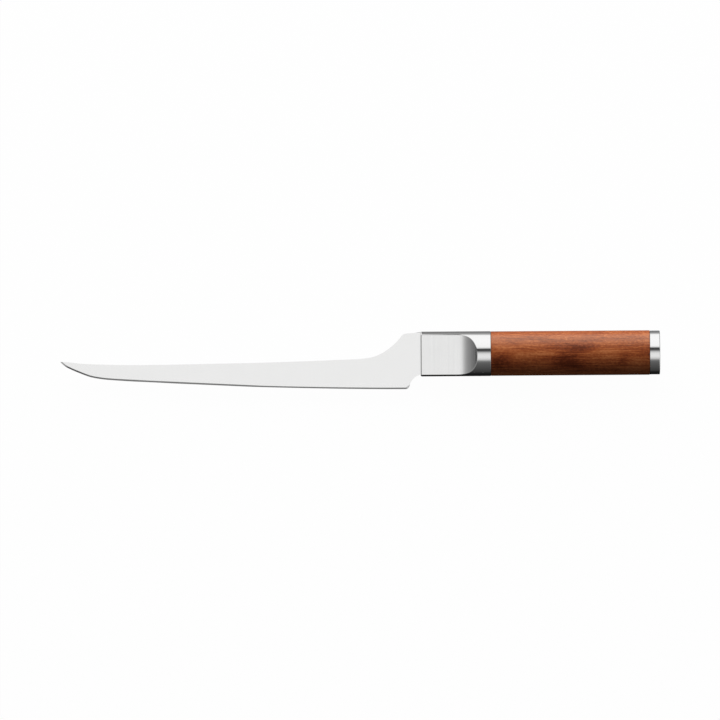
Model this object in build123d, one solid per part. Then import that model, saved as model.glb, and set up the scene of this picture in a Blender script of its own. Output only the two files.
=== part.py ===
from build123d import *
import math
import os

# A fillet knife that lies on its side, rolled a little towards its edge as its weight rolls it.
# It is drawn level: X runs along the handle towards the butt, Y towards the spine and Z through
# the thickness, from the middle of the bolster's front face. Each piece is then rolled and moved
# to the shared frame. Lengths are in millimetres.

# Blade
blade_length = 211.0
blade_depth = 20.6
blade_stock = 2.0
behind_edge = 0.46
tip_thinning = 0.32
bevel_width = 0.88
bevel_at_heel = 1.3
apex_land = 0.05
bevel_reach_share = 0.75
heel_radius = 2.4
heel_to_bolster = 8.9
notch_radius = 8.35
rise_start = 32.0
rise_depth = 2.2
rise_radius = 26.0
flank_radius = 38.0
shoulder_radius = 3.75
tip_drop = 3.15

# Directions along the blade's outline, in degrees
rise_entry_angle = 6.5
rise_turn = 26.5
flank_turn = 20
shoulder_turn = 49
heel_turn = 79
notch_turn = 66

# Spine, from the tip towards the bolster: shares of blade_length, then of blade_depth
spine_shares = (
    (0.9825, 0.158),
    (0.945, 0.202),
    (0.89, 0.2325),
    (0.80, 0.2545),
    (0.70, 0.251),
    (0.58, 0.235),
    (0.45, 0.213),
    (0.32, 0.179),
    (0.22, 0.144),
    (0.175, 0.127),
)

# Cutting edge, from the tip towards the heel, in the same shares
edge_shares = (
    (0.9855, 0.287),
    (0.965, 0.396),
    (0.9405, 0.502),
    (0.915, 0.596),
    (0.889, 0.648),
    (0.834, 0.702),
    (0.74, 0.758),
    (0.61, 0.834),
    (0.47, 0.902),
    (0.32, 0.951),
    (0.19, 0.982),
    (0.09, 0.997),
)

# Tang
tang_height = 9.0
tang_length = 62.0
tang_thickness = 1.4
tang_tail_height = 5.0
tang_tail_length = 8.0

# Bolster
handle_height = 26.3
handle_width = 20.0
end_radius_share = 0.83
bolster_length = 41.0
bolster_chamfer = 0.45
flat_thickness = 9.0
flat_length = 21.4
scoop_radius = 15.2

# Grip
grip_length = 92.8
grip_step = 0.1
grip_edge = 0.15
tenon_height = 20.0
tenon_width = 14.0
tenon_length = 7.0
spacer_thickness = 0.2
spacer_recess = 0.15
resin_bore = 9.8
resin_length = 33.0

# Butt cap
cap_length = 6.0
cap_step = 0.29
cap_edge = 0.5
cap_crown = 0.22
spigot_length = 5.0
spigot_wall = 2.0
dowel_diameter = 3.0
dowel_length = 8.0
dowel_spacing = 18.0
dowel_in_cap = 3.5

# Fastening behind the grip
rod_diameter = 5.0
rod_past_nut = 2.0
rod_chamfer = 0.5
washer_diameter = 10.0
washer_thickness = 1.0
spring_washer_diameter = 8.8
spring_washer_thickness = 1.3
spring_washer_slit = 0.8
nut_across_flats = 8.0
nut_height = 4.0
counterbore_diameter = 13.0

# Roll of the knife at rest, in degrees, and the faint flat that it then lies on
rest_roll = 7.1
rest_flat_depth = 0.06

# Clearances
slide_fit = 0.1
glue_gap = 0.05
end_gap = 0.3
overrun = 2.0

# Stations along the handle
half_height = handle_height / 2
half_width = handle_width / 2
end_radius = half_width * end_radius_share
end_centre = half_height - end_radius
side_radius = (end_centre ** 2 + half_width ** 2 - end_radius ** 2) / 2 / (half_width - end_radius)
tenon_start = bolster_length - tenon_length
tail_start = tang_length - tang_tail_length
grip_start = bolster_length + spacer_thickness
grip_end = grip_start + grip_length
cap_start = grip_end + spacer_thickness
handle_length = cap_start + cap_length
nut_end = cap_start - spigot_length - end_gap
nut_start = nut_end - nut_height
spring_washer_start = nut_start - spring_washer_thickness
seat = spring_washer_start - washer_thickness
rod_end = nut_end + rod_past_nut
rod_bore = rod_diameter + 2 * slide_fit


def across(x):
    """Plane square to the handle at x, with its first axis towards the spine."""
    return Plane(origin=(x, 0, 0), x_dir=(0, 1, 0), z_dir=(1, 0, 0))


def oval(x, inset):
    """The handle's section at x, set in from the bolster's surface: an oval of four tangent arcs."""
    side_centre = half_width - side_radius
    lean = math.degrees(math.atan2(-side_centre, end_centre))
    arcs = []
    for facing, end in ((0, 1), (180, -1)):
        arcs.append(CenterArc((end * end_centre, 0), end_radius - inset, facing - lean, 2 * lean))
        arcs.append(CenterArc((0, end * side_centre), side_radius - inset, facing + lean, 180 - 2 * lean))
    return across(x) * make_face(arcs)


def tenon_section(x, clearance):
    """The section of the grip's tenon at x, or of the socket round it."""
    return across(x) * SlotOverall(tenon_height + 2 * clearance, tenon_width + 2 * clearance)


def round_bar(start, length, diameter):
    """A cylinder along the handle."""
    return extrude(across(start) * Circle(diameter / 2), length)


def flat_bar(start, length, height, width):
    """A rectangular bar along the handle."""
    return extrude(across(start) * Rectangle(height, width), length)


def heading(angle):
    """A unit direction in the blade's plane."""
    return Vector(math.cos(math.radians(angle)), math.sin(math.radians(angle)))


def spine_curve():
    """Spine from the tip: a long shallow curve, the rise to the handle and its rounded shoulder."""
    points = [(-blade_length, -tip_drop)]
    points += [(-along * blade_length, -down * blade_depth) for along, down in spine_shares]
    points += [(-rise_start, -rise_depth)]
    sweep = Spline(*points)
    rise = JernArc(sweep @ 1, heading(rise_entry_angle), rise_radius, rise_turn)
    flank = JernArc(rise @ 1, rise % 1, flank_radius, flank_turn)
    shoulder = JernArc(flank @ 1, flank % 1, shoulder_radius, -shoulder_turn)
    return [sweep, rise, flank, shoulder]


def edge_curve():
    """Cutting edge from the tip, ending in the rounded heel corner."""
    points = [(-blade_length, -tip_drop)]
    points += [(-along * blade_length, -down * blade_depth) for along, down in edge_shares]
    points += [(-heel_to_bolster, -blade_depth)]
    belly = Spline(*points)
    heel = JernArc(belly @ 1, heading(0), heel_radius, heel_turn)
    return [belly, heel]


def blade_outline():
    """Side view of the blade, closed by its shoulder against the bolster."""
    spine = spine_curve()
    edge = edge_curve()
    notch = JernArc(edge[-1] @ 1, edge[-1] % 1, notch_radius, -notch_turn)
    top = spine[-1] @ 1
    low = notch @ 1
    slope = math.tan(math.radians(rise_entry_angle + rise_turn + flank_turn - shoulder_turn))
    shoulder = Polyline((top.X, top.Y), (0, top.Y - top.X * slope), (0, low.Y), (low.X, low.Y))
    return make_face(spine + edge + [notch] + list(shoulder.edges()))


def ground_face():
    """Plane of the blade's near side, which falls towards the edge and towards the tip."""
    along = tip_thinning / 2 / blade_length
    down = (blade_stock - behind_edge) / 2 / (half_height + blade_depth)
    return Plane(origin=(0, half_height, blade_stock / 2), z_dir=(-along, -down, 1))


def bevel_section(height, depth):
    """Waste outside the bevel's wall, at one height above the blade's middle plane."""
    belly, heel = edge_curve()
    paths = []
    for curve, count, widening in ((belly, 16, 0), (heel, 5, bevel_at_heel / bevel_width - 1)):
        points = []
        for step in range(count + 1):
            along = step / count
            inward = (curve % along).rotate(Axis.Z, 90)
            points.append(curve @ along + inward * depth * (1 + widening * along))
        if paths:
            points[0] = paths[-1] @ 1
        paths.append(Spline(*points))
    ahead = belly % 0
    before_tip = belly @ 0 - ahead * overrun + ahead.rotate(Axis.Z, 90) * depth
    past_heel = heel @ 1 + (heel % 1).rotate(Axis.Z, -90) * overrun
    outside = Polyline(
        paths[-1] @ 1,
        past_heel,
        (past_heel.X, -blade_depth - 2 * overrun),
        (-blade_length - 2 * overrun, -blade_depth - 2 * overrun),
        before_tip,
        paths[0] @ 0,
    )
    return Pos(0, 0, height) * make_face(paths + list(outside.edges()))


def blade():
    """Flat-ground blade with its two cutting bevels, in one piece with the stepped tang."""
    body = extrude(blade_outline(), blade_stock, both=True)
    slope = 2 * bevel_width / (behind_edge - apex_land)
    heights = (-apex_land, behind_edge * bevel_reach_share)
    walls = [bevel_section(height, (height - apex_land / 2) * slope) for height in heights]
    cutter = loft(walls, ruled=True)
    for _ in range(2):
        body = split(body, bisect_by=ground_face(), keep=Keep.BOTTOM) - cutter
        body = mirror(body, about=Plane.XY)
    body += flat_bar(0, tail_start, tang_height, tang_thickness)
    return body + flat_bar(0, tang_length, tang_tail_height, tang_thickness)


def scoop():
    """What is ground off one side of the bolster: a flat that ends in a round scoop."""
    floor = flat_thickness / 2
    rise = half_width + overrun - floor
    turn = math.degrees(math.acos(1 - rise / scoop_radius))
    level = Line((-overrun, floor), (flat_length, floor))
    sweep = JernArc(level @ 1, level % 1, scoop_radius, turn)
    back = Polyline(sweep @ 1, (-overrun, floor + rise), level @ 0)
    profile = Plane.XZ * make_face([level, sweep] + list(back.edges()))
    return extrude(profile, half_height + overrun, both=True)


def resting_plane():
    """Plane of the faint flat under the bolster's widest part, level when the knife lies."""
    turn = math.radians(rest_roll)
    reach = side_radius - (side_radius - half_width) * math.cos(turn) - rest_flat_depth
    facing = Vector(0, -math.sin(turn), -math.cos(turn))
    return Plane(origin=facing * reach, z_dir=facing)


def bolster():
    """Solid bolster with a scooped flat on each side, a slot for the tang and the grip's socket."""
    cutter = scoop()
    body = extrude(oval(0, 0), bolster_length) - cutter - mirror(cutter, about=Plane.XY)
    for _ in range(2):
        body = mirror(split(body, bisect_by=resting_plane(), keep=Keep.BOTTOM), about=Plane.XY)
    front = body.faces().sort_by(Axis.X)[0]
    body = chamfer(front.edges(), bolster_chamfer)
    rear = body.faces().sort_by(Axis.X)[-1]
    body = chamfer(rear.edges(), grip_edge)
    body -= flat_bar(-overrun, bolster_length, tang_height + 2 * slide_fit, tang_thickness + 2 * slide_fit)
    return body - extrude(tenon_section(tenon_start - end_gap, slide_fit), tenon_length + end_gap + overrun)


def front_spacer():
    """Thin dark washer between the bolster and the grip, open for the tenon."""
    sheet = extrude(oval(bolster_length, grip_step + spacer_recess), spacer_thickness)
    return sheet - extrude(tenon_section(bolster_length - overrun, slide_fit), 2 * overrun)


def dowel_bars(clearance):
    """The two dowels between the grip and the cap or, with a clearance all round, their holes."""
    start = cap_start + dowel_in_cap - dowel_length
    bar = round_bar(start - clearance, dowel_length + 2 * clearance, dowel_diameter + 2 * clearance)
    return [Pos(0, side * dowel_spacing / 2, 0) * bar for side in (-1, 1)]


def grip():
    """Wooden grip with a tenon in front, bored for the tang, the rod and the nut."""
    body = extrude(oval(grip_start, grip_step), grip_length)
    for end in (0, -1):
        rim = body.faces().sort_by(Axis.X)[end]
        body = chamfer(rim.edges(), grip_edge)
    body += extrude(tenon_section(tenon_start, 0), tenon_length + spacer_thickness + overrun)
    body -= round_bar(tenon_start - overrun, resin_length + overrun, resin_bore)
    body -= round_bar(tenon_start, grip_length, rod_bore)
    body -= round_bar(seat, grip_length, counterbore_diameter)
    for hole in dowel_bars(glue_gap):
        body -= hole
    return body


def tang_resin():
    """Cured resin that beds the tang and the rod's fork in the grip."""
    plug = round_bar(tenon_start, resin_length, resin_bore)
    plug -= flat_bar(0, tail_start, tang_height, tang_thickness)
    plug -= flat_bar(0, tang_length, tang_tail_height, tang_thickness)
    return plug - round_bar(tail_start, resin_length, rod_diameter)


def tang_rod():
    """Threaded rod whose forked front end straddles the tang's tail."""
    rod = round_bar(tail_start, rod_end - tail_start, rod_diameter)
    rod = chamfer(rod.faces().sort_by(Axis.X)[-1].edges(), rod_chamfer)
    fork = flat_bar(tail_start - overrun, tang_tail_length + overrun + glue_gap,
                    rod_diameter + overrun, tang_thickness + 2 * glue_gap)
    return rod - fork


def tang_washer():
    """Flat washer on the floor of the counterbore."""
    return round_bar(seat, washer_thickness, washer_diameter) - round_bar(0, handle_length, rod_bore)


def spring_washer():
    """Split spring washer, pressed flat."""
    ring = round_bar(spring_washer_start, spring_washer_thickness, spring_washer_diameter)
    ring -= round_bar(0, handle_length, rod_bore)
    slit = Pos(0, spring_washer_diameter / 2, 0) * flat_bar(
        0, handle_length, spring_washer_diameter, spring_washer_slit)
    return ring - slit


def tang_nut():
    """Hexagon nut that draws the handle together."""
    hexagon = RegularPolygon(nut_across_flats / 2, 6, major_radius=False)
    blank = extrude(across(nut_start) * hexagon, nut_height)
    return blank - round_bar(0, handle_length, rod_diameter + 2 * glue_gap)


def rear_spacer():
    """Thin dark washer between the grip and the cap, open for the spigot and the dowels."""
    sheet = extrude(oval(grip_end, cap_step + spacer_recess), spacer_thickness)
    sheet -= round_bar(0, handle_length, counterbore_diameter)
    for hole in dowel_bars(glue_gap):
        sheet -= hole
    return sheet


def end_cap():
    """Butt cap with a faintly crowned end and a spigot that closes the counterbore."""
    reach = half_height - cap_step
    crown_radius = (reach ** 2 + cap_crown ** 2) / (2 * cap_crown)
    body = extrude(oval(cap_start, cap_step), cap_length)
    body &= Pos(handle_length - crown_radius, 0, 0) * Sphere(crown_radius)
    rim = body.faces().sort_by(Axis.X)[-1]
    body = chamfer(rim.edges(), cap_edge)
    spigot = counterbore_diameter - 2 * slide_fit
    body += round_bar(cap_start - spigot_length, spigot_length, spigot)
    body -= round_bar(nut_end, rod_end + end_gap - nut_end, spigot - 2 * spigot_wall)
    for hole in dowel_bars(glue_gap):
        body -= hole
    return body


def main():
    """Roll every piece, move it to the middle of the knife's box with Z zero below, and write it."""
    pieces = {
        "blade": blade(),
        "bolster": bolster(),
        "front_spacer": front_spacer(),
        "wood_grip": grip(),
        "tang_resin": tang_resin(),
        "tang_rod": tang_rod(),
        "tang_washer": tang_washer(),
        "spring_washer": spring_washer(),
        "tang_nut": tang_nut(),
        "rear_spacer": rear_spacer(),
        "end_cap": end_cap(),
        "cap_dowels": Compound(children=dowel_bars(0)),
    }
    rolled = {name: Rot(rest_roll, 0, 0) * piece for name, piece in pieces.items()}
    boxes = [piece.bounding_box() for piece in rolled.values()]
    middle_x = (handle_length - blade_length) / 2
    middle_y = (min(box.min.Y for box in boxes) + max(box.max.Y for box in boxes)) / 2
    place = Pos(-middle_x, -middle_y, -min(box.min.Z for box in boxes))
    os.makedirs("parts", exist_ok=True)
    for name, piece in rolled.items():
        export_step(place * piece, f"parts/{name}.step")


main()
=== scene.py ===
import bpy, bmesh, math
from mathutils import Matrix, Vector, geometry


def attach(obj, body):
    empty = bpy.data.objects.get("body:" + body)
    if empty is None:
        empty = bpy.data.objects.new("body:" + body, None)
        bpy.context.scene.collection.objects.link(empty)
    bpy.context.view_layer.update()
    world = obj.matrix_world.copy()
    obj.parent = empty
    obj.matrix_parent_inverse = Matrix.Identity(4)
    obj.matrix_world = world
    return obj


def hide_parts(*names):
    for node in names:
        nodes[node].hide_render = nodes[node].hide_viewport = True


# Fillet knife on its side, rolled a little towards its edge as it lies. Metres, in the CAD's frame:
# X runs to the butt, Y to the spine, Z up. Own pieces are drawn level and then laid like the knife.

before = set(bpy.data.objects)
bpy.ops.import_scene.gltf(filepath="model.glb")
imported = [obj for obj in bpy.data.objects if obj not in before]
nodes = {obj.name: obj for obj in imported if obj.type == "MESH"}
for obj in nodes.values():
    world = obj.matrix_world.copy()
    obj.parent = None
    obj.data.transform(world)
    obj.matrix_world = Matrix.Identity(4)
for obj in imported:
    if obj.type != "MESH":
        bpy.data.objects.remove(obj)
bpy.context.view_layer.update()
mm = 0.001

knife = dict(
    front=(35.4, 3.66615, 9.9865),   # middle of the bolster's front face
    roll=7.1,
    halfHeight=13.15, halfWidth=10.0, endRadius=8.3,
    flatThickness=9.0,
    arcSteps=(8, 24, 32),            # facets of the oval: beside the crest, over the crest, on the side
)
lay = Matrix.Translation(Vector(knife["front"]) * mm) @ Matrix.Rotation(math.radians(knife["roll"]), 4, "X")


def addObject(name, data):
    obj = bpy.data.objects.new(name, data)
    bpy.context.scene.collection.objects.link(obj)
    return obj


def finishMesh(name, bm):
    mesh = bpy.data.meshes.new(name)
    bm.to_mesh(mesh)
    bm.free()
    return addObject(name, mesh)


def newMaterial(name):
    mat = bpy.data.materials.new(name)
    mat.use_nodes = True
    return mat, mat.node_tree, mat.node_tree.nodes["Principled BSDF"]


def calc(tree, operation, a, b=None, c=None, clamp=False):
    made = tree.nodes.new("ShaderNodeMath")
    made.operation = operation
    made.use_clamp = clamp
    for index, value in enumerate((a, b, c)):
        if isinstance(value, (int, float)):
            made.inputs[index].default_value = value
        elif value is not None:
            tree.links.new(value, made.inputs[index])
    return made.outputs[0]


def fromTo(tree, value, low, high):   # 0 below low, 1 above high, smooth between
    made = tree.nodes.new("ShaderNodeMapRange")
    made.interpolation_type = "SMOOTHSTEP"
    made.inputs["From Min"].default_value = low
    made.inputs["From Max"].default_value = high
    tree.links.new(value, made.inputs["Value"])
    return made.outputs["Result"]


def ramp(tree, fac, stops):
    made = tree.nodes.new("ShaderNodeValToRGB")
    elements = made.color_ramp.elements
    while len(elements) < len(stops):
        elements.new(0.5)
    for element, (place, value) in zip(elements, stops):
        element.position = place
        element.color = (value, value, value, 1) if isinstance(value, (int, float)) else (*value, 1)
    tree.links.new(fac, made.inputs[0])
    return made.outputs[0]


def mapped(tree, vector, scale, turn=(0, 0, 0), shift=(0, 0, 0)):
    made = tree.nodes.new("ShaderNodeMapping")
    made.inputs["Location"].default_value = shift
    made.inputs["Rotation"].default_value = turn
    made.inputs["Scale"].default_value = scale
    tree.links.new(vector, made.inputs["Vector"])
    return made.outputs[0]


def noise(tree, vector, scale=1.0, detail=2.0, roughness=0.5):
    made = tree.nodes.new("ShaderNodeTexNoise")
    made.inputs["Scale"].default_value = scale
    made.inputs["Detail"].default_value = detail
    made.inputs["Roughness"].default_value = roughness
    tree.links.new(vector, made.inputs["Vector"])
    return made.outputs["Fac"]


def split(tree, vector):
    made = tree.nodes.new("ShaderNodeSeparateXYZ")
    tree.links.new(vector, made.inputs[0])
    return made.outputs


def blend(tree, fac, a, b, mode="MIX"):   # a and b are colours or colour sockets
    made = tree.nodes.new("ShaderNodeMix")
    made.data_type = "RGBA"
    made.blend_type = mode
    for socket, value in ((made.inputs[0], fac), (made.inputs[6], a), (made.inputs[7], b)):
        if isinstance(value, (int, float)):
            socket.default_value = value
        elif isinstance(value, tuple):
            socket.default_value = (*value, 1)
        else:
            tree.links.new(value, socket)
    return made.outputs[2]


def bump(tree, height, distance, strength=1.0):
    made = tree.nodes.new("ShaderNodeBump")
    made.inputs["Strength"].default_value = strength
    made.inputs["Distance"].default_value = distance
    tree.links.new(height, made.inputs["Height"])
    return made.outputs[0]


# Camera straight above, turned so that the handle rises a little to the right
cameraSetup = dict(
    target=(-0.09, 0.456, 9.99),
    roll=0.4,
    lens=800,
    sensor=36,
    frameWidth=421.4,
)
c = cameraSetup
camera = bpy.data.cameras.new("camera")
camera.lens, camera.sensor_width = c["lens"], c["sensor"]
camera.clip_end = 200
cameraObj = addObject("camera", camera)
height = c["frameWidth"] * mm * c["lens"] / c["sensor"]
cameraObj.location = Vector(c["target"]) * mm + Vector((0, 0, height))
cameraObj.rotation_euler = (0, 0, -math.radians(c["roll"]))
bpy.context.scene.camera = cameraObj
bpy.context.scene.view_settings.view_transform = "Standard"
print("camera placed")

stageSetup = dict(
    floorSize=14.0,
    floorDrop=0.2,          # mm, so that the knife's underside is never in the floor
    floorGlow=0.98,         # share of the floor's own white for the camera
    floorTone=0.95,
    worldForDiffuse=0.10,
    floorForDiffuse=0.18,
    lampPower=91.0,
    lampAngle=65,           # degrees from straight up, towards the spine
    lampDistance=2.2,
    lampSize=(3.0, 2.2),
    tentRadius=2.6,
    tentLift=0.5,           # mm above the ground
    # What polished steel sees, by angle from straight up towards the spine: (degrees, brightness)
    tentAcross=(
        (-90, 0.04), (-74, 0.067), (-52, 0.105), (-42.5, 0.14), (-36.5, 0.26), (-31.5, 0.58),
        (-25, 0.78), (-19, 0.86), (-14, 0.84), (-10, 0.83), (-6, 0.73), (-3, 0.66), (1, 0.38), (5, 0.13),
        (9, 0.048), (13.5, 0.052), (17, 0.46), (20, 0.90), (25, 1.02), (53, 1.06), (86, 1.04),
    ),
    # and its dimming towards the tip, by angle from straight up: (degrees, share)
    tentAlong=((8, 1.0), (20, 0.86), (29, 0.60), (38, 0.42), (47, 0.34), (60, 0.27), (78, 0.20), (90, 0.18)),
    # away from both of those bands it is plain and bright, by height: (share of the way up, brightness)
    tentFar=((0.0, 0.20), (0.2, 0.38), (0.55, 0.66), (1.0, 0.84)),
    bandEnd=(0.17, 0.5),    # the bands give way to that between these shares of the radius
    tipShare=0.62,          # below 1 they reach further on the side of the tip
    bandMiddle=-11,         # and only this far off their middle, in degrees
    bandEdge=(12, 28),
    # Cards beside the handle, white beside the blade: (mm from the handle's axis, brightness)
    cards=((-1200, 0.04), (-154, 0.028), (-61, 0.016), (-39, 0.010), (-20, 0.007), (16, 0.20),
           (24, 0.225), (36, 0.25), (62, 0.48), (168, 0.86), (600, 1.0)),
    cardLift=0.1,
    cardStart=(-300, -250),   # mm on the knife's length, where the cards fade in towards the tip
    cardFade=4,               # and out before the bolster's front
    cardSpine=(-8, -4),       # from here up the spine sees them
)


def lightPaths(tree, *names):
    path = tree.nodes.new("ShaderNodeLightPath")
    total = path.outputs[names[0]]
    for name in names[1:]:
        total = calc(tree, "MAXIMUM", total, path.outputs[name])
    return total


def makeWorld(s):
    world = bpy.data.worlds.new("studio")
    world.use_nodes = True
    bpy.context.scene.world = world
    tree = world.node_tree
    background = tree.nodes["Background"]
    background.inputs["Color"].default_value = (1, 1, 1, 1)
    seen = lightPaths(tree, "Is Camera Ray", "Is Glossy Ray", "Is Transmission Ray")
    dim = s["worldForDiffuse"]
    tree.links.new(calc(tree, "MULTIPLY_ADD", seen, 1 - dim, dim), background.inputs["Strength"])


def makeFloor(s):
    bm = bmesh.new()
    bmesh.ops.create_grid(bm, x_segments=1, y_segments=1, size=s["floorSize"] / 2)
    floor = finishMesh("floor", bm)
    floor.location.z = -s["floorDrop"] * mm
    mat, tree, shader = newMaterial("paperFloor")
    tree.nodes.remove(shader)
    paper = tree.nodes.new("ShaderNodeBsdfDiffuse")
    paper.inputs["Color"].default_value = (*[s["floorTone"]] * 3, 1)
    shade = tree.nodes.new("ShaderNodeBsdfDiffuse")
    shade.inputs["Color"].default_value = (*[s["floorForDiffuse"]] * 3, 1)
    glow = tree.nodes.new("ShaderNodeEmission")
    glow.inputs["Strength"].default_value = 1.0
    forCamera = calc(tree, "MULTIPLY", lightPaths(tree, "Is Camera Ray"), s["floorGlow"])
    forSteel = lightPaths(tree, "Is Glossy Ray", "Is Transmission Ray")
    bright = tree.nodes.new("ShaderNodeMixShader")
    tree.links.new(calc(tree, "MAXIMUM", forCamera, forSteel), bright.inputs[0])
    tree.links.new(paper.outputs[0], bright.inputs[1])
    tree.links.new(glow.outputs[0], bright.inputs[2])
    final = tree.nodes.new("ShaderNodeMixShader")
    tree.links.new(lightPaths(tree, "Is Diffuse Ray"), final.inputs[0])
    tree.links.new(bright.outputs[0], final.inputs[1])
    tree.links.new(shade.outputs[0], final.inputs[2])
    tree.links.new(final.outputs[0], tree.nodes["Material Output"].inputs["Surface"])
    floor.data.materials.append(mat)
    mattePieces.objects.link(floor)


def makeLamp(s):
    lamp = bpy.data.lights.new("softbox", "AREA")
    lamp.shape = "RECTANGLE"
    lamp.size, lamp.size_y = s["lampSize"]
    lamp.energy = s["lampPower"]
    obj = addObject("softbox", lamp)
    angle = math.radians(s["lampAngle"])
    obj.location = Vector((0, math.sin(angle), math.cos(angle))) * s["lampDistance"]
    obj.rotation_euler = (-angle, 0, 0)
    obj.light_linking.receiver_collection = mattePieces


def glowingCard(obj, name, strengthFrom):   # shows only in reflections
    mat, tree, shader = newMaterial(name)
    tree.nodes.remove(shader)
    coords = tree.nodes.new("ShaderNodeTexCoord").outputs["Object"]
    glow = tree.nodes.new("ShaderNodeEmission")
    tree.links.new(strengthFrom(tree, coords), glow.inputs["Strength"])
    tree.links.new(glow.outputs[0], tree.nodes["Material Output"].inputs["Surface"])
    obj.data.materials.append(mat)
    obj.visible_camera = False
    obj.visible_diffuse = False
    obj.visible_shadow = False
    obj.visible_transmission = False


def makeTent(s):
    def strength(tree, coords):
        x, y, z = split(tree, coords)
        reach = calc(tree, "SQRT", calc(tree, "MULTIPLY_ADD", x, x, calc(tree, "MULTIPLY", z, z)))
        acrossAngle = calc(tree, "ARCTAN2", y, reach)
        across = calc(tree, "MULTIPLY_ADD", acrossAngle, 1 / math.pi, 0.5)
        alongAngle = calc(tree, "ARCTAN2", calc(tree, "MULTIPLY", x, -1.0), z)
        along = calc(tree, "MULTIPLY", alongAngle, 2 / math.pi, clamp=True)
        a = ramp(tree, across, [((angle + 90) / 180, v) for angle, v in s["tentAcross"]])
        b = ramp(tree, along, [(angle / 90, v) for angle, v in s["tentAlong"]])
        far = ramp(tree, calc(tree, "MULTIPLY", z, 1 / s["tentRadius"]), s["tentFar"])
        butt = calc(tree, "MULTIPLY", x, 1 / s["tentRadius"])
        tip = calc(tree, "MULTIPLY", butt, -s["tipShare"])
        aside = fromTo(tree, calc(tree, "MAXIMUM", butt, tip), *s["bandEnd"])
        offBand = calc(tree, "ABSOLUTE", calc(tree, "ADD", acrossAngle, math.radians(-s["bandMiddle"])))
        offEdge = fromTo(tree, offBand, *[math.radians(angle) for angle in s["bandEdge"]])
        return blend(tree, calc(tree, "MULTIPLY", aside, offEdge), calc(tree, "MULTIPLY", a, b), far)

    bm = bmesh.new()
    bmesh.ops.create_icosphere(bm, subdivisions=4, radius=s["tentRadius"])
    bmesh.ops.bisect_plane(bm, geom=bm.verts[:] + bm.edges[:] + bm.faces[:], plane_no=(0, 0, 1),
                           plane_co=(0, 0, s["tentLift"] * mm), clear_inner=True)
    tent = finishMesh("reflectorTent", bm)
    glowingCard(tent, "tentCloth", strength)
    tent.light_linking.receiver_collection = steelPieces


def makeCards(s):
    def spread(y):   # cube root, so that the ramp has room near the handle
        return 0.5 + 0.4 * math.copysign(abs(y * mm) ** (1 / 3), y)

    def strength(tree, coords):
        x, y = split(tree, coords)[:2]
        root = calc(tree, "POWER", calc(tree, "ABSOLUTE", y), 1 / 3)
        place = calc(tree, "MULTIPLY_ADD", calc(tree, "MULTIPLY", root, calc(tree, "SIGN", y)), 0.4, 0.5)
        front = knife["front"][0] * mm
        beside = calc(tree, "MULTIPLY", fromTo(tree, x, *[v * mm for v in s["cardStart"]]),
                      calc(tree, "SUBTRACT", 1.0, fromTo(tree, x, front - s["cardFade"] * mm, front)))
        beside = calc(tree, "MULTIPLY", beside, fromTo(tree, y, *[v * mm for v in s["cardSpine"]]))
        cards = ramp(tree, place, [(spread(distance), v) for distance, v in s["cards"]])
        return blend(tree, beside, cards, (1.0, 1.0, 1.0))

    bm = bmesh.new()
    bmesh.ops.create_grid(bm, x_segments=1, y_segments=1, size=s["tentRadius"])
    obj = finishMesh("floorCards", bm)
    obj.location = (0, knife["front"][1] * mm, s["cardLift"] * mm)
    glowingCard(obj, "cardPaper", strength)


# The lamp lights what is matte and the floor; polished steel is lit by the tent and cards that it reflects
mattePieces = bpy.data.collections.new("mattePieces")
steelPieces = bpy.data.collections.new("steelPieces")
makeWorld(stageSetup)
makeFloor(stageSetup)
makeLamp(stageSetup)
makeTent(stageSetup)
makeCards(stageSetup)
print("stage and light set")


# Brush marks: fine lines that run across the knife, with a little cloudiness
brushGrain = dict(fine=(1000, 28, 28), broad=(700, 12, 12), clouds=(70, 110, 110))


def makeBrushGroup(s):
    group = bpy.data.node_groups.new("brushMarks", "ShaderNodeTree")
    face = group.interface
    face.new_socket(name="Vector", in_out="INPUT", socket_type="NodeSocketVector")
    for name, value in (("Lines per mm", 9.0), ("Contrast", 0.1), ("Clouds", 0.05)):
        face.new_socket(name=name, in_out="INPUT", socket_type="NodeSocketFloat").default_value = value
    face.new_socket(name="Tone", in_out="OUTPUT", socket_type="NodeSocketFloat")
    face.new_socket(name="Height", in_out="OUTPUT", socket_type="NodeSocketFloat")
    inside = group.nodes.new("NodeGroupInput").outputs
    outside = group.nodes.new("NodeGroupOutput").inputs
    fine = noise(group, mapped(group, inside["Vector"], s["fine"]), detail=3, roughness=0.6)
    group.links.new(inside["Lines per mm"], fine.node.inputs["Scale"])
    broad = noise(group, mapped(group, inside["Vector"], s["broad"], shift=(3, 1, 7)))
    clouds = noise(group, mapped(group, inside["Vector"], s["clouds"]), detail=3, roughness=0.55)
    lines = calc(group, "MULTIPLY_ADD", broad, 0.5, calc(group, "MULTIPLY", fine, 0.5))
    centred = calc(group, "SUBTRACT", lines, 0.5)
    cloudy = calc(group, "SUBTRACT", clouds, 0.5)
    tone = calc(group, "MULTIPLY_ADD", centred, inside["Contrast"],
                calc(group, "MULTIPLY_ADD", cloudy, inside["Clouds"], 1.0))
    group.links.new(tone, outside["Tone"])
    group.links.new(fine, outside["Height"])
    return group


brushMarks = makeBrushGroup(brushGrain)


def brush(tree, coords, linesPerMm, contrast, clouds):
    made = tree.nodes.new("ShaderNodeGroup")
    made.node_tree = brushMarks
    tree.links.new(coords, made.inputs["Vector"])
    made.inputs["Lines per mm"].default_value = linesPerMm
    made.inputs["Contrast"].default_value = contrast
    made.inputs["Clouds"].default_value = clouds
    return made.outputs["Tone"], made.outputs["Height"]


def unrolled(tree, vector):   # turned back to the knife's own directions
    return mapped(tree, vector, (1, 1, 1), turn=(-math.radians(knife["roll"]), 0, 0))


def level(tree, vector):   # coordinates in the knife's own directions, from the bolster's front
    return unrolled(tree, mapped(tree, vector, (1, 1, 1), shift=tuple(-v * mm for v in knife["front"])))


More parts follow.
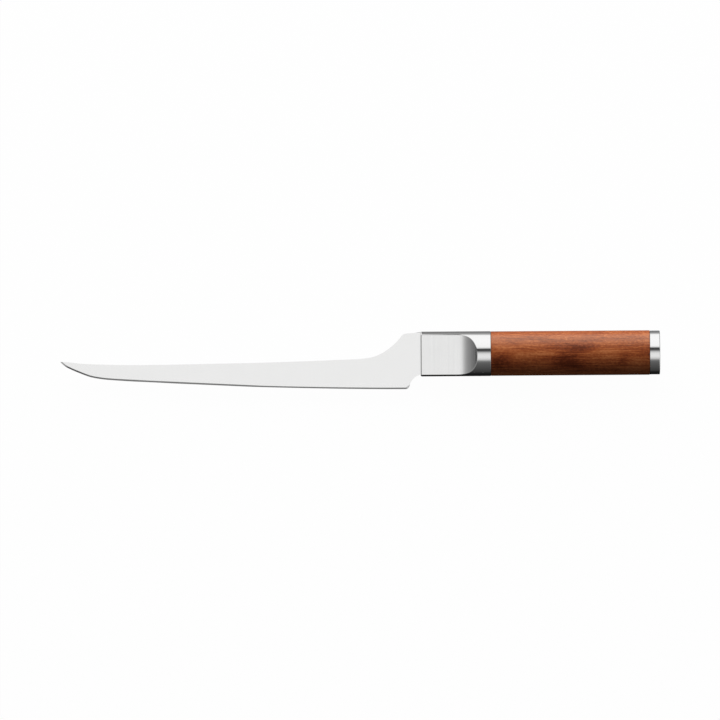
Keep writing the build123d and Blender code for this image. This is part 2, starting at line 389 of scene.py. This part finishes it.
def uneven(tree, pattern, spread, middle):   # a value that the pattern spreads about its middle
    return calc(tree, "MULTIPLY_ADD", calc(tree, "SUBTRACT", pattern, 0.5), spread, middle)


bladeFinish = dict(tone=(0.985, 0.985, 0.98), roughness=0.15, bevelRoughness=0.09, linesPerMm=7.0,
                   contrast=0.055, clouds=0.03, lineDepth=0.0000012, roughnessSpread=0.08,
                   bevelFacing=(0.972, 0.99))   # what leans more than this is the bevel


def makeBladeSteel(s):
    mat, tree, shader = newMaterial("satinBladeSteel")
    texture = tree.nodes.new("ShaderNodeTexCoord")
    coords = level(tree, texture.outputs["Object"])
    tone, lines = brush(tree, coords, s["linesPerMm"], s["contrast"], s["clouds"])
    facing = split(tree, unrolled(tree, texture.outputs["Normal"]))[2]
    bevel = calc(tree, "SUBTRACT", 1.0, fromTo(tree, calc(tree, "ABSOLUTE", facing), *s["bevelFacing"]))
    colour = blend(tree, 1.0, s["tone"], tone, "MULTIPLY")
    tree.links.new(colour, shader.inputs["Base Color"])
    shader.inputs["Metallic"].default_value = 1.0
    rough = calc(tree, "MULTIPLY_ADD", bevel, s["bevelRoughness"] - s["roughness"],
                 uneven(tree, lines, s["roughnessSpread"], s["roughness"]))
    tree.links.new(rough, shader.inputs["Roughness"])
    tree.links.new(bump(tree, lines, s["lineDepth"]), shader.inputs["Normal"])
    return mat


bolsterFinish = dict(tone=(0.88, 0.88, 0.875), flatTone=(0.93, 0.93, 0.925), roughness=0.06, flatRoughness=0.13,
                     linesPerMm=8.0, contrast=0.19, clouds=0.06, lineDepth=0.000001,
                     polish=(4.0, 0.01, 0.012),   # its lines per mm, contrast and clouds
                     roughnessSpread=0.05,
                     flatFacing=(0.03, 0.06),     # the flats lean sideways by less than this
                     ovalReach=(9.90, 9.97))      # mm from the middle; only the oval's sides go that far


def makeBolsterSteel(s, name, hasFlats):
    mat, tree, shader = newMaterial(name)
    texture = tree.nodes.new("ShaderNodeTexCoord")
    coords = level(tree, texture.outputs["Object"])
    tone, lines = brush(tree, coords, s["linesPerMm"], s["contrast"], s["clouds"])
    polishedTone, polishedLines = brush(tree, coords, *s["polish"])
    shader.inputs["Metallic"].default_value = 1.0
    if hasFlats:
        # the scooped flats face straight up, down or forward; the oval's own sides reach further out
        lean = calc(tree, "ABSOLUTE", split(tree, unrolled(tree, texture.outputs["Normal"]))[1])
        reach = calc(tree, "ABSOLUTE", split(tree, coords)[2])
        straight = calc(tree, "SUBTRACT", 1.0, fromTo(tree, lean, *s["flatFacing"]))
        below = calc(tree, "SUBTRACT", 1.0, fromTo(tree, reach, *[v * mm for v in s["ovalReach"]]))
        flat = calc(tree, "MULTIPLY", straight, below)
        colour = blend(tree, flat, blend(tree, 1.0, s["tone"], polishedTone, "MULTIPLY"),
                       blend(tree, 1.0, s["flatTone"], tone, "MULTIPLY"))
        tree.links.new(colour, shader.inputs["Base Color"])
        rough = calc(tree, "MULTIPLY_ADD", flat, s["flatRoughness"] - s["roughness"],
                     uneven(tree, lines, s["roughnessSpread"], s["roughness"]))
        tree.links.new(rough, shader.inputs["Roughness"])
        tree.links.new(bump(tree, calc(tree, "MULTIPLY", lines, flat), s["lineDepth"]), shader.inputs["Normal"])
    else:
        tree.links.new(blend(tree, 1.0, s["tone"], polishedTone, "MULTIPLY"), shader.inputs["Base Color"])
        rough = uneven(tree, polishedLines, s["roughnessSpread"], s["roughness"])
        tree.links.new(rough, shader.inputs["Roughness"])
        tree.links.new(bump(tree, polishedLines, s["lineDepth"] / 4), shader.inputs["Normal"])
    return mat


hiddenSteel = dict(tone=(0.55, 0.55, 0.56), roughness=0.3, roughnessSpread=0.2, brush=(5.0, 0.15, 0.2))


def makeFastenerSteel(s):
    mat, tree, shader = newMaterial("fastenerSteel")
    coords = tree.nodes.new("ShaderNodeTexCoord").outputs["Object"]
    tone, lines = brush(tree, coords, *s["brush"])
    tree.links.new(blend(tree, 1.0, s["tone"], tone, "MULTIPLY"), shader.inputs["Base Color"])
    shader.inputs["Metallic"].default_value = 1.0
    rough = calc(tree, "MULTIPLY_ADD", lines, s["roughnessSpread"], s["roughness"] - s["roughnessSpread"] / 2)
    tree.links.new(rough, shader.inputs["Roughness"])
    return mat


fibreFinish = dict(dark=(0.02, 0.015, 0.012), pale=(0.07, 0.045, 0.032), roughness=0.5, roughnessSpread=0.3,
                   fibreDepth=0.00002)


def makeSpacerFibre(s):
    mat, tree, shader = newMaterial("darkSpacerFibre")
    coords = tree.nodes.new("ShaderNodeTexCoord").outputs["Object"]
    fibres = noise(tree, mapped(tree, coords, (2500, 900, 900)), detail=4, roughness=0.7)
    tree.links.new(ramp(tree, fibres, [(0.3, s["dark"]), (0.7, s["pale"])]), shader.inputs["Base Color"])
    rough = calc(tree, "MULTIPLY_ADD", fibres, s["roughnessSpread"], s["roughness"])
    tree.links.new(rough, shader.inputs["Roughness"])
    tree.links.new(bump(tree, fibres, s["fibreDepth"]), shader.inputs["Normal"])
    return mat


resinFinish = dict(dark=(0.20, 0.13, 0.06), pale=(0.30, 0.21, 0.11), roughness=0.25)


def makeResin(s):
    mat, tree, shader = newMaterial("curedResin")
    coords = tree.nodes.new("ShaderNodeTexCoord").outputs["Object"]
    haze = noise(tree, mapped(tree, coords, (300, 300, 300)), detail=3)
    tree.links.new(ramp(tree, haze, [(0.35, s["dark"]), (0.65, s["pale"])]), shader.inputs["Base Color"])
    shader.inputs["Roughness"].default_value = s["roughness"]
    return mat


woodFinish = dict(
    # colours by tone, dark to light
    colours=((0.08, (0.135, 0.024, 0.0075)), (0.38, (0.285, 0.060, 0.0175)), (0.62, (0.40, 0.100, 0.027)),
             (0.98, (0.56, 0.180, 0.062))),
    tone=0.55, roughness=0.40, roughnessSpread=0.16, grainDepth=0.00003,
    specular=0.46, specularTint=(1.0, 0.86, 0.67),
    rings=0.8, veins=0.13, streaks=1.25, flecks=0.8, paintedGlints=0.18, clouds=0.45, pores=0.14,   # how much each shows
    veinWidth=0.035, poreRange=(0.58, 0.68), paintedGlintRange=(0.56, 0.70), poreDepth=0.6,
    wander=dict(scale=(22, 60, 60), reach=4),   # mm that the grain wanders
    layers=dict(
        rings=dict(scale=(6, 300, 300), detail=3, roughness=0.6),
        veins=dict(scale=(7, 190, 190), shift=(6, 3, 2), detail=1),
        streaks=dict(scale=(34, 1000, 1000), shift=(5, 2, 1), detail=3, roughness=0.7),
        pores=dict(scale=(260, 2600, 2600), shift=(1, 8, 3)),
        flecks=dict(scale=(520, 900, 900), shift=(9, 4, 6), roughness=0.7),
        clouds=dict(scale=(60, 130, 130), shift=(2, 6, 4), detail=3),
        # flecks lightened in the colour as painted highlights
        paintedGlints=dict(scale=(640, 1500, 1500), shift=(4, 4, 8), detail=1),
    ),
    # darker cloudy patches, and lighter bands of the wood with painted fill light: (mm behind the bolster's front,
    # mm towards the spine, half length, half height, depth); the last two lighter ones paint light over the shaded
    # lower side
    patches=((47, -2.5, 6, 4.5, 0.42), (86, -3.0, 9, 5, 0.5), (94, 4.2, 10, 3.2, 0.4), (119, -2, 3.5, 4.5, 0.26)),
    lighterBandsAndPaintedFill=((48, 3.0, 9, 2.2, 0.24), (66, 0.5, 14, 1.8, 0.26), (110, 1, 10, 3, 0.16), (70, -7, 20, 5, 0.10),
           (120, -7, 20, 5, 0.10)),
)


def grain(tree, vector, scale, shift=(0, 0, 0), detail=2, roughness=0.5):
    return noise(tree, mapped(tree, vector, scale, shift=shift), detail=detail, roughness=roughness)


def makeWood(s):
    mat, tree, shader = newMaterial("rosyBrownWood")
    coords = level(tree, tree.nodes.new("ShaderNodeTexCoord").outputs["Object"])
    # slow waviness, so that the grain isn't ruled
    reach = s["wander"]["reach"] * mm
    wander = calc(tree, "MULTIPLY_ADD", grain(tree, coords, s["wander"]["scale"]), reach, -reach / 2)
    bend = tree.nodes.new("ShaderNodeCombineXYZ")
    tree.links.new(wander, bend.inputs[1])
    tree.links.new(wander, bend.inputs[2])
    bent = tree.nodes.new("ShaderNodeVectorMath")
    tree.links.new(coords, bent.inputs[0])
    tree.links.new(bend.outputs[0], bent.inputs[1])
    layer = {name: grain(tree, bent.outputs[0], **values) for name, values in s["layers"].items()}
    x, y = split(tree, coords)[:2]
    tone = s["tone"]
    for name in ("rings", "streaks", "flecks", "clouds"):
        tone = uneven(tree, layer[name], s[name], tone)
    # darker wood patches, and lighter spots that are partly lighter wood, partly painted fill light on the lower side
    for spots, sign in ((s["patches"], -1), (s["lighterBandsAndPaintedFill"], 1)):
        for px, py, halfLength, halfHeight, depth in spots:
            dx = calc(tree, "MULTIPLY_ADD", x, 1 / (halfLength * mm), -px / halfLength)
            dy = calc(tree, "MULTIPLY_ADD", y, 1 / (halfHeight * mm), -py / halfHeight)
            away = calc(tree, "ADD", calc(tree, "MULTIPLY", dx, dx), calc(tree, "MULTIPLY", dy, dy))
            soft = calc(tree, "POWER", 2.718, calc(tree, "MULTIPLY", away, -1.0))
            tone = calc(tree, "MULTIPLY_ADD", soft, sign * depth, tone)
    offVein = calc(tree, "ABSOLUTE", calc(tree, "SUBTRACT", layer["veins"], 0.5))
    vein = calc(tree, "SUBTRACT", 1.0, fromTo(tree, offVein, 0.0, s["veinWidth"]))
    tone = calc(tree, "MULTIPLY_ADD", vein, -s["veins"], tone)
    pore = fromTo(tree, layer["pores"], *s["poreRange"])
    tone = calc(tree, "MULTIPLY_ADD", pore, -s["pores"], tone)
    # painted highlight: light flecks added to the base colour stand for glints of light off the wood
    paintedGlint = fromTo(tree, layer["paintedGlints"], *s["paintedGlintRange"])
    tone = calc(tree, "MULTIPLY_ADD", paintedGlint, s["paintedGlints"], tone, clamp=True)
    tree.links.new(ramp(tree, tone, s["colours"]), shader.inputs["Base Color"])
    rough = calc(tree, "MULTIPLY_ADD", layer["streaks"], s["roughnessSpread"],
                 s["roughness"] - s["roughnessSpread"] / 2)
    tree.links.new(rough, shader.inputs["Roughness"])
    height = calc(tree, "MULTIPLY_ADD", pore, -s["poreDepth"], layer["streaks"])
    tree.links.new(bump(tree, height, s["grainDepth"]), shader.inputs["Normal"])
    shader.inputs["Specular IOR Level"].default_value = s["specular"]
    shader.inputs["Specular Tint"].default_value = (*s["specularTint"], 1)
    return mat


def mergeNear(bm, distance=0.002):
    bmesh.ops.remove_doubles(bm, verts=bm.verts[:], dist=distance * mm)


def ovalLoop(bm, x, inset):   # the handle's section, drawn by spinning one point round the centres of four arcs
    k = knife
    endCentre = k["halfHeight"] - k["endRadius"]
    sideRadius = (endCentre ** 2 + k["halfWidth"] ** 2 - k["endRadius"] ** 2) / 2 / (k["halfWidth"] - k["endRadius"])
    sideCentre = k["halfWidth"] - sideRadius
    lean = math.atan2(-sideCentre, endCentre)
    reach = k["endRadius"] - inset
    start = Vector((x, endCentre + reach * math.cos(lean), -reach * math.sin(lean))) * mm
    last = bmesh.ops.create_vert(bm, co=start)["vert"]
    made = set(last)
    crest = math.asin(k["flatThickness"] / 2 / k["endRadius"])   # a point falls where the flats cut the oval
    besideSteps, crestSteps, sideSteps = k["arcSteps"]
    arcs = []
    for side in (1, -1):
        beside = ((side * endCentre, 0), lean - crest, besideSteps)
        arcs += [beside, ((side * endCentre, 0), 2 * crest, crestSteps), beside,
                 ((0, side * sideCentre), math.pi - 2 * lean, sideSteps)]
    for centre, turn, steps in arcs:
        before = set(bm.verts)
        last = bmesh.ops.spin(bm, geom=last, cent=Vector((x, *centre)) * mm, axis=(1, 0, 0), angle=turn,
                              steps=steps)["geom_last"]
        made |= set(bm.verts) - before
    end = next(g for g in last if isinstance(g, bmesh.types.BMVert))
    bmesh.ops.weld_verts(bm, targetmap={end: next(v for v in made if (v.co - start).length == 0)})
    made.discard(end)
    return [e for e in bm.edges if e.is_valid and all(v in made for v in e.verts)]


def ovalBody(stations):   # a closed body through ovals at (x, inset), and its two end faces
    bm = bmesh.new()
    loops = [ovalLoop(bm, x, inset) for x, inset in stations]
    for one, two in zip(loops, loops[1:]):
        bmesh.ops.bridge_loops(bm, edges=one + two)
    ends = [bmesh.ops.contextual_create(bm, geom=loop)["faces"][0] for loop in (loops[0], loops[-1])]
    bmesh.ops.recalc_face_normals(bm, faces=bm.faces[:])
    return bm, ends


def roundedRim(x, inset, radius, towards, steps=4):   # stations that round a rim; towards is the body's side, 1 or -1
    stations = []
    for step in range(steps + 1):
        angle = math.pi / 2 * step / steps
        stations.append((x + towards * radius * (1 - math.sin(angle)), inset + radius * (1 - math.cos(angle))))
    return stations[::-1] if towards > 0 else stations


def shade(bm, sharpAngle):
    for face in bm.faces:
        face.smooth = True
    for edge in bm.edges:
        edge.smooth = not (edge.is_manifold and edge.calc_face_angle(0) > math.radians(sharpAngle))


def weighNormals(obj):   # broad flats keep their own direction beside narrow rounded edges
    weigh = obj.modifiers.new("evenShading", "WEIGHTED_NORMAL")
    weigh.keep_sharp = True
    weigh.weight = 80


def seat(obj, node, material):
    obj.data.transform(lay)
    obj.data.materials.append(material)
    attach(obj, "root")
    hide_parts(node)


gripShape = dict(start=41.2, length=92.8, inset=0.1, rim=0.15, sharpAngle=50)


def makeGrip(s):
    front = roundedRim(s["start"], s["inset"], s["rim"], 1)
    back = roundedRim(s["start"] + s["length"], s["inset"], s["rim"], -1)
    bm = ovalBody(front + back)[0]
    shade(bm, s["sharpAngle"])
    obj = finishMesh("ovalGrip", bm)
    weighNormals(obj)
    return obj


capShape = dict(start=134.2, end=140.2, inset=0.29, rim=0.45, frontRim=0.06, crown=0.22, sharpAngle=50,
                crownRings=(0.86, 0.80, 0.72, 0.6, 0.4))   # on the end face, each a share of the one before


def makeCap(s):
    front = roundedRim(s["start"], s["inset"], s["frontRim"], 1, steps=2)
    back = roundedRim(s["end"], s["inset"], s["rim"], -1, steps=8)
    bm, ends = ovalBody(front + back)
    face = ends[1]
    for share in s["crownRings"]:
        face = bmesh.ops.extrude_discrete_faces(bm, faces=[face])["faces"][0]
        bmesh.ops.scale(bm, vec=(1, share, share), verts=face.verts[:])
    mergeNear(bm)
    reach = (knife["halfHeight"] - s["inset"]) * mm
    for vert in bm.verts:
        if vert.co.x > (s["start"] + s["end"]) / 2 * mm:
            vert.co.x -= s["crown"] * mm * (vert.co.y ** 2 + vert.co.z ** 2) / reach ** 2
    bmesh.ops.recalc_face_normals(bm, faces=bm.faces[:])
    shade(bm, s["sharpAngle"])
    obj = finishMesh("crownedCap", bm)
    weighNormals(obj)
    return obj


bolsterShape = dict(length=41.0, flatLength=21.4, scoopRadius=15.2, scoopSteps=40,
                    rim=0.15, frontBevel=0.45, edgeRadius=0.3, sharpAngle=35,
                    overrun=2, cutWidth=32,        # mm that the cutter stands past the body, and its width
                    mergeWithin=0.04, flatUnder=0.05,   # mm and degrees, to clear what the cut leaves
                    crestAngle=20, crestEnd=1)     # edges sharper than this are rounded, up to mm from the rear


def thicken(bm, face, along):   # makes a body of a face
    far = bmesh.ops.extrude_face_region(bm, geom=[face])["geom"]
    bmesh.ops.translate(bm, vec=along, verts=[g for g in far if isinstance(g, bmesh.types.BMVert)])


def scoopCutter(s, side):   # what the grinding wheel takes off one side: a flat that runs out in a round scoop
    floor = knife["flatThickness"] / 2
    rise = knife["halfWidth"] + s["overrun"] - floor
    turn = math.acos(1 - rise / s["scoopRadius"])
    bm = bmesh.new()
    start = bmesh.ops.create_vert(bm, co=Vector((s["flatLength"], 0, floor)) * mm)["vert"]
    last = bmesh.ops.spin(bm, geom=start, cent=Vector((s["flatLength"], 0, floor + s["scoopRadius"])) * mm,
                          axis=(0, -1, 0), angle=turn, steps=s["scoopSteps"])["geom_last"]
    top = next(g for g in last if isinstance(g, bmesh.types.BMVert))
    corners = [bmesh.ops.create_vert(bm, co=Vector((-s["overrun"], 0, z)) * mm)["vert"][0]
               for z in (floor + rise, floor)]
    for a, b in ((top, corners[0]), corners, (corners[1], start[0])):
        bmesh.ops.contextual_create(bm, geom=[a, b])
    face = bmesh.ops.contextual_create(bm, geom=bm.edges[:])["faces"][0]
    bmesh.ops.translate(bm, vec=(0, -s["cutWidth"] / 2 * mm, 0), verts=bm.verts[:])
    thicken(bm, face, (0, s["cutWidth"] * mm, 0))
    bmesh.ops.scale(bm, vec=(1, 1, side), verts=bm.verts[:])
    bmesh.ops.recalc_face_normals(bm, faces=bm.faces[:])
    return finishMesh("scoopCutter", bm)


def carve(obj, cutters):   # takes the cutters out of the body and keeps only the result
    for cutter in cutters:
        cut = obj.modifiers.new("scoop", "BOOLEAN")
        cut.operation, cut.solver, cut.object = "DIFFERENCE", "EXACT", cutter
    bpy.context.view_layer.update()
    result = bpy.data.meshes.new_from_object(obj.evaluated_get(bpy.context.evaluated_depsgraph_get()))
    obj.modifiers.clear()
    obj.data = result
    for cutter in cutters:
        bpy.data.objects.remove(cutter)


def makeBolster(s):
    bm = ovalBody([(0, 0)] + roundedRim(s["length"], 0, s["rim"], -1))[0]
    obj = finishMesh("scoopedBolster", bm)
    carve(obj, [scoopCutter(s, side) for side in (1, -1)])
    bm = bmesh.new()
    bm.from_mesh(obj.data)
    mergeNear(bm, s["mergeWithin"])
    bmesh.ops.dissolve_limit(bm, angle_limit=math.radians(s["flatUnder"]), verts=bm.verts[:], edges=bm.edges[:])
    front = next(f for f in bm.faces if f.normal.x < -0.99)
    bmesh.ops.inset_region(bm, faces=[front], thickness=s["frontBevel"] * mm, use_even_offset=True)
    outline = [v for v in bm.verts if abs(v.co.x) < 0.001 * mm and v not in front.verts[:]]
    bmesh.ops.translate(bm, vec=(s["frontBevel"] * mm, 0, 0), verts=outline)
    crests = [e for e in bm.edges if e.is_manifold and e.calc_face_angle(0) > math.radians(s["crestAngle"])
              and max(v.co.x for v in e.verts) < (s["length"] - s["crestEnd"]) * mm]
    bmesh.ops.bevel(bm, geom=crests, offset=s["edgeRadius"] * mm, affect="EDGES", segments=3, profile=0.5,
                    material=-1)
    shade(bm, s["sharpAngle"])
    bm.to_mesh(obj.data)
    bm.free()
    weighNormals(obj)
    return obj


bladeShape = dict(
    length=211.0, depth=20.6, stock=2.0, behindEdge=0.46, tipThinning=0.32,
    land=0.05, bevel=0.88, heelBevel=1.3, heelBevelTurn=38,
    # spine and edge from the tip: (share of the length, share of the depth)
    tip=(1.0, 0.153),
    spine=((0.9825, 0.158), (0.945, 0.202), (0.89, 0.2325), (0.80, 0.2545), (0.70, 0.251), (0.58, 0.235),
           (0.45, 0.213), (0.32, 0.179), (0.22, 0.144), (0.175, 0.127), (0.1517, 0.1068)),
    edge=((0.9855, 0.287), (0.965, 0.396), (0.9405, 0.502), (0.915, 0.596), (0.889, 0.648), (0.834, 0.702),
          (0.74, 0.758), (0.61, 0.834), (0.47, 0.902), (0.32, 0.951), (0.19, 0.982), (0.09, 0.997), (0.04218, 1.0)),
    # arcs after them: (radius, degrees turned to the left)
    riseHeading=6.5, rise=((26.0, 26.5), (38.0, 20), (3.75, -49)),
    heel=(2.4, 79), notch=(8.35, -66),
    tang=((56.0, 9.0), (62.0, 5.0)), tangThickness=1.4,   # bars behind the front: (length, height)
    sharpAngle=7,
)


def smoothThrough(points, steps=5):   # a curve through the points, each one's slope taken from its neighbours
    made = [points[0]]
    for i in range(len(points) - 1):
        a, b = points[i], points[i + 1]
        reach = (b - a).length
        handles = []
        for here, before, after in ((a, i - 1, i + 1), (b, i, i + 2)):
            if before < 0 or after >= len(points):
                handles.append((b - a) / 3)
                continue
            back, on = here - points[before], points[after] - here
            lean = back / back.length * on.length + on / on.length * back.length
            handles.append(lean / (back.length + on.length) * reach / 3)
        made += geometry.interpolate_bezier(a, a + handles[0], b - handles[1], b, steps + 1)[1:]
    return made


def arcOn(points, heading, radius, turn, steps=10):   # goes on from the last point; returns the new heading
    side = math.copysign(1, turn)
    start, centre = points[-1], points[-1] + radius * side * Vector((-math.sin(heading), math.cos(heading), 0))
    for step in range(1, steps + 1):
        points.append(centre + Matrix.Rotation(math.radians(turn) * step / steps, 3, "Z") @ (start - centre))
    return heading + math.radians(turn)


def shave(bm, point, normal, snap=0.0001):   # takes off what lies beyond a plane and closes the cut
    cut = bmesh.ops.bisect_plane(bm, geom=bm.verts[:] + bm.edges[:] + bm.faces[:], dist=snap, plane_co=point,
                                 plane_no=normal, clear_outer=True)["geom_cut"]
    rim = [g for g in cut if isinstance(g, bmesh.types.BMEdge) and g.is_valid and g.is_boundary]
    if rim:
        bmesh.ops.holes_fill(bm, edges=rim)


def makeBlade(s):
    def place(share):
        return Vector((-share[0] * s["length"], -share[1] * s["depth"], 0))

    # outline in mm: along the edge to the notch, then back along the spine
    spine = smoothThrough([place(share) for share in (s["tip"],) + s["spine"]])
    heading = math.radians(s["riseHeading"])
    for radius, turn in s["rise"]:
        heading = arcOn(spine, heading, radius, turn)
    crest = spine[-1].y - spine[-1].x * math.tan(heading)
    edge = smoothThrough([place(share) for share in (s["tip"],) + s["edge"]])
    belly = len(edge)
    heading = arcOn(edge, 0, *s["heel"])
    notch = [edge[-1]]
    arcOn(notch, heading, *s["notch"])
    shoulder = [Vector((0, notch[-1].y, 0)), Vector((0, crest, 0))]
    outline = edge + notch[1:] + shoulder + spine[:0:-1]
    bm = bmesh.new()
    verts = [bmesh.ops.create_vert(bm, co=v)["vert"][0] for v in outline]
    for a, b in zip(verts, verts[1:] + verts[:1]):
        bmesh.ops.contextual_create(bm, geom=[a, b])
    face = bmesh.ops.contextual_create(bm, geom=bm.edges[:])["faces"][0]
    bmesh.ops.translate(bm, vec=(0, 0, -s["stock"] / 2), verts=bm.verts[:])
    thicken(bm, face, (0, 0, s["stock"]))
    bmesh.ops.recalc_face_normals(bm, faces=bm.faces[:])
    # the ground faces, which taper to the tip and to the edge
    along = s["tipThinning"] / 2 / s["length"]
    down = (s["stock"] - s["behindEdge"]) / 2 / (knife["halfHeight"] + s["depth"])
    for side in (1, -1):
        shave(bm, (0, knife["halfHeight"], side * s["stock"] / 2), (-along, -down, side))
    # the cutting bevel, one plane for each stretch of the edge, steeper where the tip is thicker
    steady = (s["behindEdge"] - s["land"]) / 2 / s["bevel"]
    for i, (a, b) in enumerate(zip(edge, edge[1:])):
        line = (b - a).normalized()
        if math.atan2(line.y, line.x) > math.radians(s["heelBevelTurn"]):
            break
        share = max(0, i - belly) / (len(edge) - belly)
        width = s["bevel"] + share * (s["heelBevel"] - s["bevel"])
        thick = s["stock"] / 2 - down * (knife["halfHeight"] - a.y) + along * a.x
        slope = (thick - s["land"] / 2) / width
        if i < belly:
            slope = max(steady, slope)
        for side in (1, -1):
            shave(bm, (a.x, a.y, side * s["land"] / 2), (slope * line.y, -slope * line.x, side))
    for length, height in s["tang"]:
        box = Matrix.Translation((length / 2, 0, 0)) @ Matrix.Diagonal((length, height, s["tangThickness"], 1))
        bmesh.ops.create_cube(bm, size=1, matrix=box)
    bmesh.ops.scale(bm, vec=(mm, mm, mm), verts=bm.verts[:])
    bmesh.ops.recalc_face_normals(bm, faces=bm.faces[:])
    shade(bm, s["sharpAngle"])
    blade = finishMesh("groundBlade", bm)
    weighNormals(blade)
    return blade


bladeSteel = makeBladeSteel(bladeFinish)
bolsterSteel = makeBolsterSteel(bolsterFinish, "bolsterSteel", True)
capSteel = makeBolsterSteel(bolsterFinish, "polishedCapSteel", False)
fastenerSteel = makeFastenerSteel(hiddenSteel)
spacerFibre = makeSpacerFibre(fibreFinish)
resin = makeResin(resinFinish)
wood = makeWood(woodFinish)
print("materials made")


def dress(material, *names):
    for name in names:
        obj = nodes[name]
        obj.data.materials.clear()
        obj.data.materials.append(material)


dress(spacerFibre, "front_spacer", "rear_spacer")
dress(resin, "tang_resin")
dress(fastenerSteel, "tang_rod", "tang_washer", "spring_washer", "tang_nut", "cap_dowels")
seat(makeBlade(bladeShape), "blade", bladeSteel)
seat(makeBolster(bolsterShape), "bolster", bolsterSteel)
seat(makeGrip(gripShape), "wood_grip", wood)
seat(makeCap(capShape), "end_cap", capSteel)
for obj in [o for o in bpy.data.objects if o.type == "MESH" and o.data.materials]:
    if "teel" in obj.data.materials[0].name:
        steelPieces.objects.link(obj)
    elif obj.name not in ("floor", "reflectorTent", "floorCards"):
        mattePieces.objects.link(obj)
print("pieces made and dressed")
